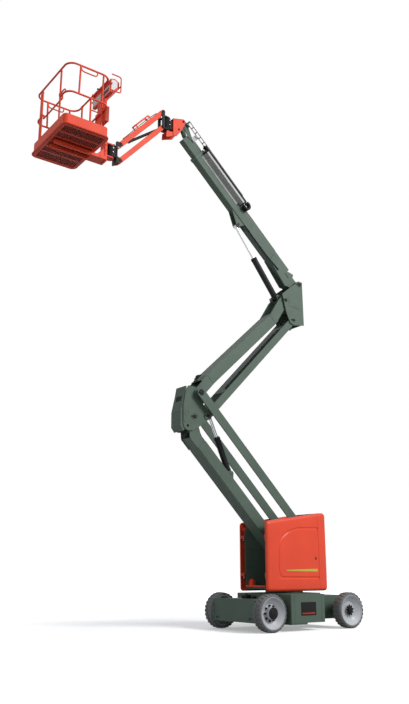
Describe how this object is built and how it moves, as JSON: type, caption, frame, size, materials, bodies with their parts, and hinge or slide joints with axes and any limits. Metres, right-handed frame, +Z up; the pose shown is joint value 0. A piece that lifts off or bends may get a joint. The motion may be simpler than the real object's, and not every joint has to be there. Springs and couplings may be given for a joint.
{
  "type": "articulating boom lift",
  "caption": "Self-propelled articulating boom lift with a two-stage riser, telescopic main boom, rotating jib and railed platform on a narrow four-wheel chassis.",
  "frame": {"origin": "on the ground, under the turret's slewing axis and midway between the axles", "axes": "+X towards the drive axle and the raised boom's platform, +Y to the machine's left, +Z up"},
  "size_m": [6.1749, 1.495, 9.2299],
  "materials": {
    "red_paint": "semi-gloss orange-red paint",
    "green_paint": "satin grey-green paint",
    "red_covers": "moulded orange-red covers",
    "dark_metal": "satin black paint",
    "black_plastic": "matt black moulding",
    "chrome_rod": "polished hard chrome",
    "rim_silver": "pale silver paint",
    "tyre_grey": "pale grey non-marking rubber",
    "bare_steel": "machined steel",
    "pale_metal": "pale aluminium"
  },
  "bodies": {
    "chassis": {"chassis_frame": "green_paint", "side_boxes": "green_paint", "axles": "green_paint", "steering_cylinder": "dark_metal", "slew_ring": "green_paint"},
    "tie_rod": {"tie_rod": "bare_steel"},
    "steer_left": {"steering_knuckle_left": "green_paint"},
    "steer_right": {"steering_knuckle_right": "green_paint"},
    "rear_wheel_left": {"tyre_rear_left": "tyre_grey", "wheel_rear_left": "rim_silver"},
    "rear_wheel_right": {"tyre_rear_right": "tyre_grey", "wheel_rear_right": "rim_silver"},
    "front_wheel_left": {"tyre_front_left": "tyre_grey", "wheel_front_left": "rim_silver"},
    "front_wheel_right": {"tyre_front_right": "tyre_grey", "wheel_front_right": "rim_silver"},
    "turret": {"turret_frame": "green_paint", "counterweight": "dark_metal", "side_packs": "dark_metal", "front_sill": "red_paint", "rear_hood": "red_covers"},
    "cover_left": {"side_cover_left": "red_covers"},
    "cover_right": {"side_cover_right": "red_covers"},
    "lower_arm": {"arm1": "green_paint"},
    "lower_links": {"stage1_links": "green_paint"},
    "knuckle": {"mid_knuckle": "green_paint"},
    "upper_arm": {"arm2": "green_paint"},
    "upper_link": {"stage2_link": "green_paint"},
    "upright": {"upright": "green_paint"},
    "riser_barrel": {"riser_barrel": "dark_metal"},
    "riser_rod": {"riser_rod": "chrome_rod"},
    "boom": {"boom_base": "green_paint", "cable_tray": "pale_metal", "cable_chain": "black_plastic"},
    "fly": {"boom_fly": "green_paint", "cable_rail": "pale_metal"},
    "lift_barrel": {"lift_barrel": "dark_metal"},
    "lift_rod": {"lift_rod": "chrome_rod"},
    "jib_base": {"jib_base": "red_paint", "jib_rotator": "dark_metal"},
    "jib_root": {"jib_root": "dark_metal"},
    "jib_upper": {"jib_upper_bar": "red_paint"},
    "jib_lower": {"jib_lower_bar": "red_paint"},
    "jib_end": {"jib_end": "dark_metal", "platform_rotator": "dark_metal"},
    "jib_barrel": {"jib_barrel": "dark_metal"},
    "jib_rod": {"jib_rod": "chrome_rod"},
    "platform": {"platform_support": "red_paint", "platform_floor": "red_paint", "platform_rails": "red_paint", "control_console": "red_paint"},
    "entry_bar": {"entry_bar": "red_paint"}
  },
  "joints": [
    {"name": "steer_left", "type": "hinge", "parent": "chassis", "child": "steer_left", "pos_m": [-0.9, 0.52, 0.3], "axis": [0, 0, 1], "range_deg": [-40, 40]},
    {"name": "steer_right", "type": "hinge", "parent": "chassis", "child": "steer_right", "pos_m": [-0.9, -0.52, 0.3], "axis": [0, 0, 1], "range_deg": [-40.1, 40.1]},
    {"name": "tie_rod_shift", "type": "slide", "parent": "chassis", "child": "tie_rod", "axis": [0, 1, 0], "range_m": [-0.108, 0.108]},
    {"name": "front_wheel_left", "type": "hinge", "parent": "chassis", "child": "front_wheel_left", "pos_m": [0.9, 0.655, 0.3], "axis": [0, 1, 0], "continuous": true},
    {"name": "front_wheel_right", "type": "hinge", "parent": "chassis", "child": "front_wheel_right", "pos_m": [0.9, -0.655, 0.3], "axis": [0, 1, 0], "continuous": true},
    {"name": "rear_wheel_left", "type": "hinge", "parent": "steer_left", "child": "rear_wheel_left", "pos_m": [-0.9, 0.655, 0.3], "axis": [0, 1, 0], "continuous": true},
    {"name": "rear_wheel_right", "type": "hinge", "parent": "steer_right", "child": "rear_wheel_right", "pos_m": [-0.9, -0.655, 0.3], "axis": [0, 1, 0], "continuous": true},
    {"name": "slew", "type": "hinge", "parent": "chassis", "child": "turret", "pos_m": [0, 0, 0.62], "axis": [0, 0, 1], "range_deg": [-177.5, 177.5]},
    {"name": "cover_left", "type": "hinge", "parent": "turret", "child": "cover_left", "pos_m": [0.66, 0.3, 1.2], "axis": [0, 0, -1], "range_deg": [0, 110]},
    {"name": "cover_right", "type": "hinge", "parent": "turret", "child": "cover_right", "pos_m": [0.66, -0.3, 1.2], "axis": [0, 0, 1], "range_deg": [0, 110]},
    {"name": "riser", "type": "hinge", "parent": "turret", "child": "lower_arm", "pos_m": [-0.385, 0, 1.03], "axis": [0, -1, 0], "range_deg": [-44.22, 22.78]},
    {"name": "riser_links", "type": "hinge", "parent": "turret", "child": "lower_links", "pos_m": [-0.455, 0, 1.442], "axis": [0, -1, 0], "range_deg": [-44.42, 22.98]},
    {"name": "riser_knuckle", "type": "hinge", "parent": "lower_arm", "child": "knuckle", "pos_m": [2.05, 0, 3.484], "axis": [0, -1, 0], "range_deg": [-22.98, 44.42]},
    {"name": "riser_upper", "type": "hinge", "parent": "knuckle", "child": "upper_arm", "pos_m": [1.98, 0, 3.896], "axis": [0, -1, 0], "range_deg": [-22.98, 44.42]},
    {"name": "riser_upper_link", "type": "hinge", "parent": "knuckle", "child": "upper_link", "pos_m": [1.785, 0, 3.522], "axis": [0, -1, 0], "range_deg": [-22.98, 44.42]},
    {"name": "riser_upright", "type": "hinge", "parent": "upper_arm", "child": "upright", "pos_m": [-0.076, 0, 6.019], "axis": [0, -1, 0], "range_deg": [-44.42, 22.98]},
    {"name": "riser_barrel_tilt", "type": "hinge", "parent": "lower_arm", "child": "riser_barrel", "pos_m": [1.205, 0, 2.59], "axis": [0, -1, 0], "range_deg": [-6.43, 3.41]},
    {"name": "riser_rod_stroke", "type": "slide", "parent": "riser_barrel", "child": "riser_rod", "axis": [0.3989, 0, 0.917], "range_m": [-0.28625, 0.14843]},
    {"name": "luff", "type": "hinge", "parent": "upright", "child": "boom", "pos_m": [-0.451, 0, 6.42], "axis": [0, -1, 0], "range_deg": [-42.5, 32.5]},
    {"name": "lift_barrel_tilt", "type": "hinge", "parent": "upright", "child": "lift_barrel", "pos_m": [0.02, 0, 6.095], "axis": [0, -1, 0], "range_deg": [-44.48, 34.06]},
    {"name": "lift_rod_stroke", "type": "slide", "parent": "lift_barrel", "child": "lift_rod", "axis": [0.6075, 0, 0.7943], "range_m": [-0.41739, 0.31965]},
    {"name": "telescope", "type": "slide", "parent": "boom", "child": "fly", "axis": [0.7373, 0, 0.6756], "range_m": [0, 1.6]},
    {"name": "platform_level", "type": "hinge", "parent": "fly", "child": "jib_base", "pos_m": [2.29005, 0, 9.12295], "axis": [0, -1, 0], "range_deg": [-32.7, 42.7]},
    {"name": "jib_swing", "type": "hinge", "parent": "jib_base", "child": "jib_root", "pos_m": [2.61, 0, 9], "axis": [0, 0, 1], "range_deg": [-90, 90]},
    {"name": "jib_luff", "type": "hinge", "parent": "jib_root", "child": "jib_upper", "pos_m": [2.722, 0, 9.19], "axis": [0, -1, 0], "range_deg": [-12, 116]},
    {"name": "jib_parallel", "type": "hinge", "parent": "jib_root", "child": "jib_lower", "pos_m": [2.722, 0, 8.872], "axis": [0, -1, 0], "range_deg": [-12.2, 116.2]},
    {"name": "jib_end_level", "type": "hinge", "parent": "jib_upper", "child": "jib_end", "pos_m": [3.602, 0, 8.19], "axis": [0, -1, 0], "range_deg": [-116.2, 12.2]},
    {"name": "jib_barrel_tilt", "type": "hinge", "parent": "jib_root", "child": "jib_barrel", "pos_m": [2.722, 0, 8.872], "axis": [0, -1, 0], "range_deg": [-11.9, 113.3]},
    {"name": "jib_rod_stroke", "type": "slide", "parent": "jib_barrel", "child": "jib_rod", "axis": [0.7904, 0, -0.6126], "range_m": [-0.05465, 0.51098]},
    {"name": "platform_turn", "type": "hinge", "parent": "jib_end", "child": "platform", "pos_m": [3.775, 0, 8], "axis": [0, 0, 1], "range_deg": [-90, 90]},
    {"name": "entry_bar_lift", "type": "slide", "parent": "platform", "child": "entry_bar", "axis": [0, 0, 1], "range_m": [0, 0.38]}
  ],
  "couplings": [
    {"joint": "steer_right", "follows": "steer_left", "ratio": 1},
    {"joint": "tie_rod_shift", "follows": "steer_left", "m_per_rad": -0.152},
    {"joint": "riser_links", "follows": "riser", "ratio": 1},
    {"joint": "riser_knuckle", "follows": "riser", "ratio": -1},
    {"joint": "riser_upper", "follows": "riser", "ratio": -1},
    {"joint": "riser_upper_link", "follows": "riser", "ratio": -1},
    {"joint": "riser_upright", "follows": "riser", "ratio": 1},
    {"joint": "riser_barrel_tilt", "follows": "riser", "ratio": 0.1408},
    {"joint": "riser_rod_stroke", "follows": "riser", "m_per_rad": 0.3683},
    {"joint": "lift_barrel_tilt", "follows": "luff", "ratio": 1.042},
    {"joint": "lift_rod_stroke", "follows": "luff", "m_per_rad": 0.56},
    {"joint": "platform_level", "follows": "luff", "ratio": -1},
    {"joint": "jib_parallel", "follows": "jib_luff", "ratio": 1},
    {"joint": "jib_end_level", "follows": "jib_luff", "ratio": -1},
    {"joint": "jib_barrel_tilt", "follows": "jib_luff", "ratio": 0.975},
    {"joint": "jib_rod_stroke", "follows": "jib_luff", "m_per_rad": 0.2514}
  ]
}
